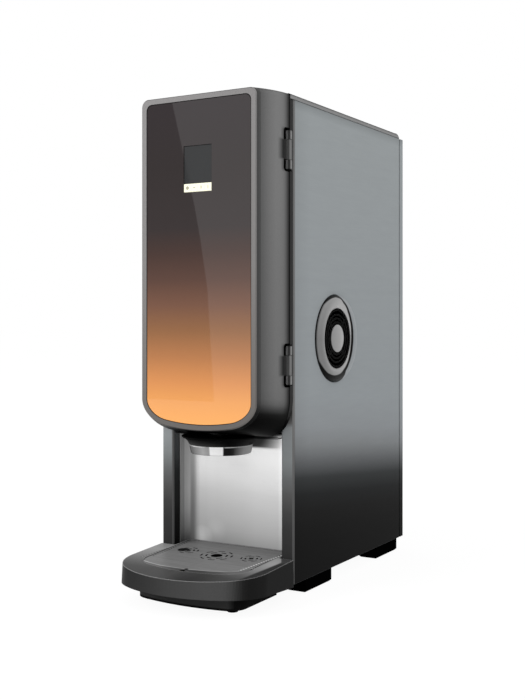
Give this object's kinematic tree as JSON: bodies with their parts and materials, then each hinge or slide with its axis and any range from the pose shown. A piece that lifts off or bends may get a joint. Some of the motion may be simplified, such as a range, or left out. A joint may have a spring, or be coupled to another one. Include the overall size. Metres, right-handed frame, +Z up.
{
  "type": "instant coffee machine",
  "caption": "Tall narrow instant coffee machine with a glass door, touch display, cup niche with drip tray, spout and round side vent.",
  "frame": {"origin": "middle of the footprint, drip tray and water inlet included, on the floor", "axes": "+Z up, +Y from the cup niche to the back, +X to the right seen from the front"},
  "size_m": [0.1932, 0.4686, 0.584],
  "materials": {
    "graphite_metal": "satin",
    "door_metal": "satin",
    "ring_metal": "satin",
    "tray_plastic": "fine texture",
    "grid_metal": "satin",
    "black_plastic": "matte",
    "vent_plastic": "satin",
    "cap_plastic": "satin",
    "niche_steel": "brushed",
    "sheet_steel": "galvanised",
    "hinge_metal": "satin",
    "screw_steel": "zinc plated",
    "tinted_glass": "tinted, gloss",
    "display_glass": "gloss",
    "key_plastic": "satin, backlit",
    "module_plastic": "matte",
    "board_green": "solder mask",
    "seal_rubber": "matte",
    "hose_rubber": "silicone",
    "clear_plastic": "translucent",
    "white_plastic": "satin",
    "motor_metal": "satin",
    "boiler_steel": "brushed",
    "valve_brass": "satin"
  },
  "bodies": {
    "cabinet": {"side_panel_right": "graphite_metal", "side_panel_left": "graphite_metal", "base_plate": "sheet_steel", "feet": "black_plastic", "rear_cover": "graphite_metal", "shelf": "sheet_steel", "partition": "sheet_steel", "niche_panel": "niche_steel", "lid_hinge_fixed": "hinge_metal", "front_frame": "black_plastic", "door_gasket": "seal_rubber", "magnet_catches": "black_plastic", "door_hinge_fixed": "hinge_metal", "tray_carrier": "black_plastic", "spout_housing": "black_plastic", "spout_ring": "niche_steel", "spout_nozzle": "white_plastic", "vent_bezel": "vent_plastic", "vent_grille": "vent_plastic", "vent_cap": "cap_plastic", "fan_housing": "black_plastic", "canister_motor": "motor_metal", "mixing_bowl": "clear_plastic", "mixer_flange": "black_plastic", "mixer_bracket": "sheet_steel", "mixer_motor": "motor_metal", "boiler_tank": "boiler_steel", "boiler_stand": "sheet_steel", "boiler_lid": "boiler_steel", "heating_element": "boiler_steel", "outlet_valve": "valve_brass", "water_hoses": "hose_rubber", "inlet_valve": "valve_brass", "mains_inlet": "black_plastic", "main_board": "board_green", "power_supply": "sheet_steel", "cabinet_screws": "screw_steel"},
    "door": {"door_shell": "door_metal", "door_ring": "ring_metal", "glass_panel": "tinted_glass", "display_lens": "display_glass", "touch_keys": "key_plastic", "display_module": "module_plastic", "door_board": "board_green", "door_liner": "black_plastic", "door_hinge_moving": "hinge_metal", "catch_strikers": "sheet_steel"},
    "refill_lid": {"top_lid": "graphite_metal", "lid_hinge_moving": "hinge_metal"},
    "tray": {"drip_tray": "tray_plastic"},
    "tray_grid": {"drip_grid": "grid_metal"},
    "powder_canister": {"canister": "clear_plastic"},
    "powder_cover": {"canister_lid": "white_plastic"},
    "powder_elbow": {"canister_elbow": "white_plastic"},
    "powder_auger": {"auger": "white_plastic"},
    "powder_wheel": {"agitator": "white_plastic"},
    "drive_cup": {"canister_drive": "white_plastic"},
    "whipper": {"impeller": "white_plastic"},
    "cooling_fan": {"fan_rotor": "black_plastic"},
    "power_switch": {"switch_rocker": "black_plastic"}
  },
  "joints": [
    {"name": "door_hinge", "type": "hinge", "parent": "cabinet", "child": "door", "pos_m": [0.0925, -0.1147, 0.3965], "axis": [0, 0, 1], "range_deg": [0, 110]},
    {"name": "lid_hinge", "type": "hinge", "parent": "cabinet", "child": "refill_lid", "pos_m": [0, 0.2063, 0.5776], "axis": [-1, 0, 0], "range_deg": [0, 85]},
    {"name": "tray_slide", "type": "slide", "parent": "cabinet", "child": "tray", "axis": [0, -1, 0], "range_m": [0, 0.14]},
    {"name": "grid_lift", "type": "slide", "parent": "tray", "child": "tray_grid", "axis": [0, 0, 1], "range_m": [0, 0.05]},
    {"name": "canister_slide", "type": "slide", "parent": "cabinet", "child": "powder_canister", "axis": [0, -1, 0], "range_m": [0, 0.01]},
    {"name": "cover_lift", "type": "slide", "parent": "powder_canister", "child": "powder_cover", "axis": [0, 0, 1], "range_m": [0, 0.02]},
    {"name": "elbow_turn", "type": "hinge", "parent": "powder_canister", "child": "powder_elbow", "pos_m": [0, -0.0917, 0.366], "axis": [0, 1, 0], "range_deg": [0, 180]},
    {"name": "drive_spin", "type": "hinge", "parent": "cabinet", "child": "drive_cup", "pos_m": [0, 0.0913, 0.366], "axis": [0, 1, 0], "continuous": true},
    {"name": "auger_spin", "type": "hinge", "parent": "powder_canister", "child": "powder_auger", "pos_m": [0, -0.0037, 0.366], "axis": [0, 1, 0], "continuous": true},
    {"name": "wheel_spin", "type": "hinge", "parent": "powder_canister", "child": "powder_wheel", "pos_m": [0, -0.0007, 0.42052], "axis": [1, 0, 0], "continuous": true},
    {"name": "whipper_spin", "type": "hinge", "parent": "cabinet", "child": "whipper", "pos_m": [0, -0.0437, 0.262], "axis": [0, 1, 0], "continuous": true},
    {"name": "fan_spin", "type": "hinge", "parent": "cabinet", "child": "cooling_fan", "pos_m": [0.08, 0.0033, 0.3005], "axis": [1, 0, 0], "continuous": true},
    {"name": "switch_rock", "type": "hinge", "parent": "cabinet", "child": "power_switch", "pos_m": [0.056, 0.2193, 0.192], "axis": [0, 0, -1], "range_deg": [0, 18]}
  ],
  "couplings": [
    {"joint": "drive_spin", "follows": "auger_spin", "ratio": 1},
    {"joint": "wheel_spin", "follows": "auger_spin", "ratio": -0.083333}
  ]
}
